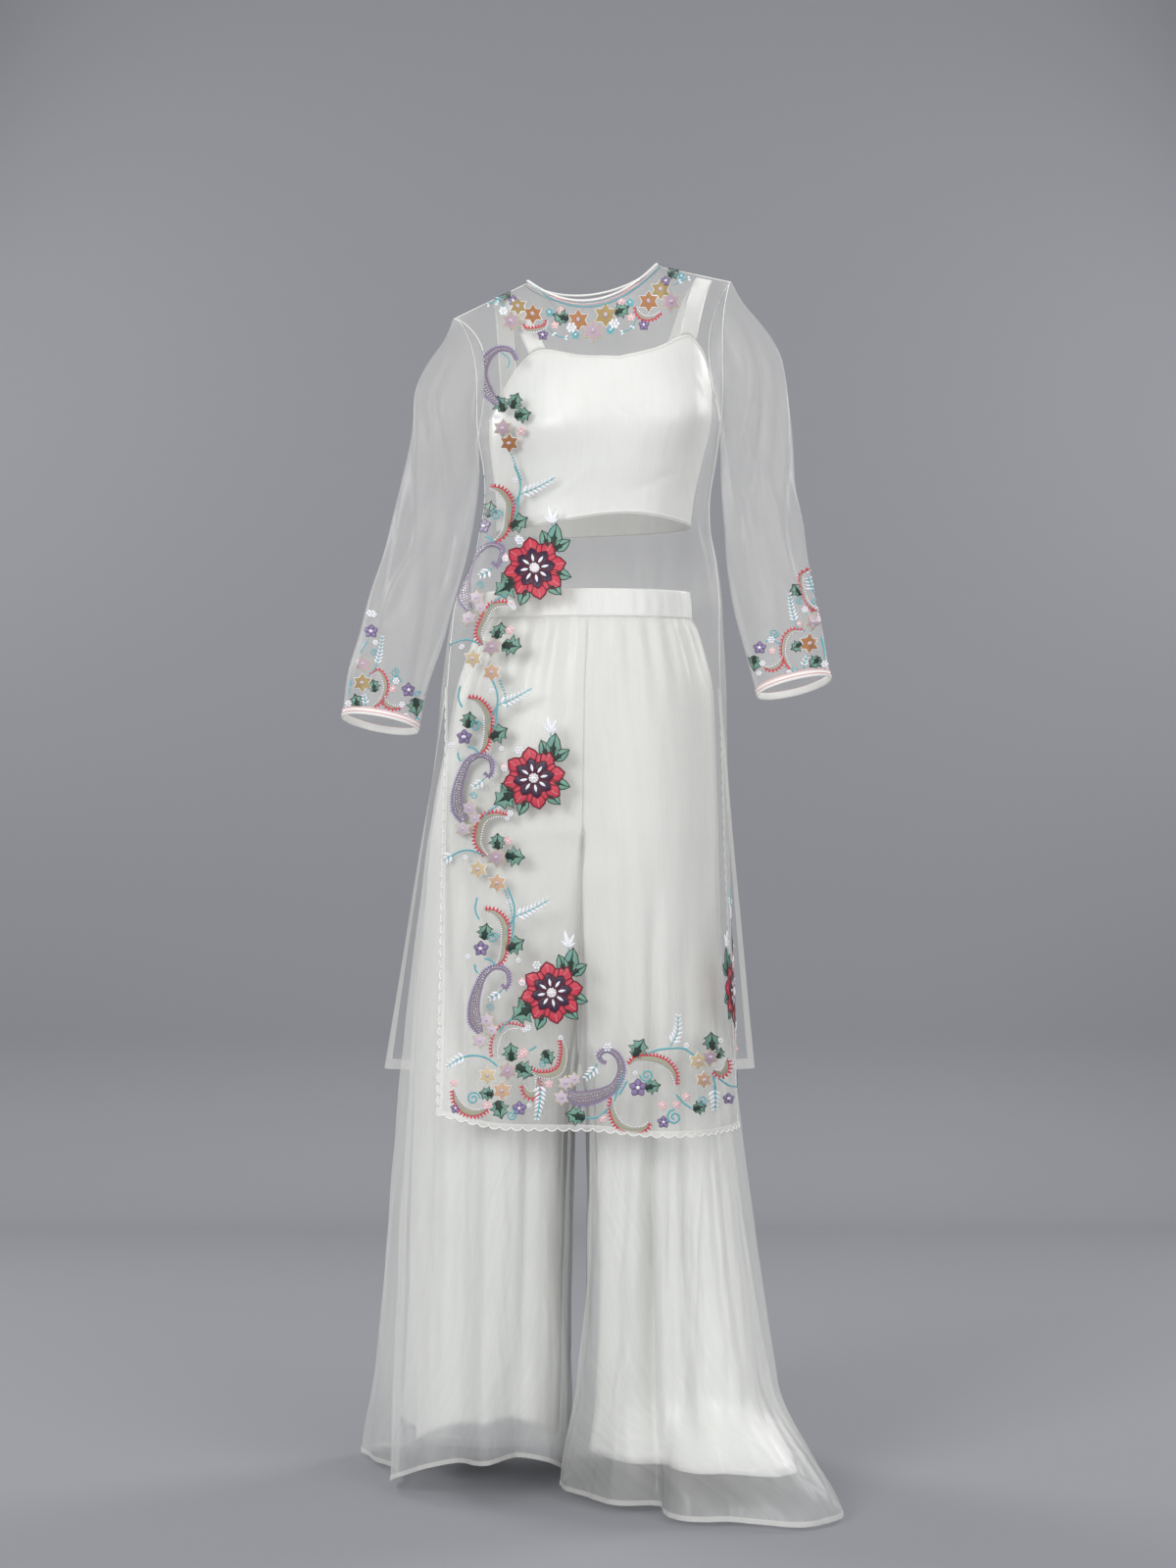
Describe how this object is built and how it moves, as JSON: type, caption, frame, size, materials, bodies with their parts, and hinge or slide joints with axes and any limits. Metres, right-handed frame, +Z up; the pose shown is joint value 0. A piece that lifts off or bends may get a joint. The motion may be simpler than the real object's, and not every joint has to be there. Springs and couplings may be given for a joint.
{
  "type": "palazzo suit",
  "caption": "Long sheer embroidered kurta with side slits over a satin camisole and wide lined palazzo trousers, holding the standing worn shape.",
  "frame": {"origin": "on the wearer's centre line at the height of the shoulders, 1.5 m above the floor that the hem reaches", "axes": "+Z up, +X to the wearer's left, -Y is the front"},
  "size_m": [0.6046, 0.502, 1.5141],
  "materials": {
    "organza": "sheer ivory organza",
    "satin": "opaque white satin",
    "trim": "white braid and binding",
    "thread": "coloured thread embroidery with beads"
  },
  "bodies": {
    "root": {"kurta_front": "organza", "kurta_back": "organza", "sleeve_right": "organza", "sleeve_left": "organza", "palazzo_outer_right": "organza", "palazzo_outer_left": "organza", "camisole_front": "satin", "camisole_back": "satin", "camisole_strap_right": "satin", "camisole_strap_left": "satin", "palazzo_waistband": "satin", "palazzo_lining_right": "satin", "palazzo_lining_left": "satin", "cuff_band_right": "trim", "cuff_band_left": "trim", "neck_binding": "trim", "flower_1": "thread", "flower_2": "thread", "flower_3": "thread", "flower_4": "thread"}
  },
  "joints": []
}
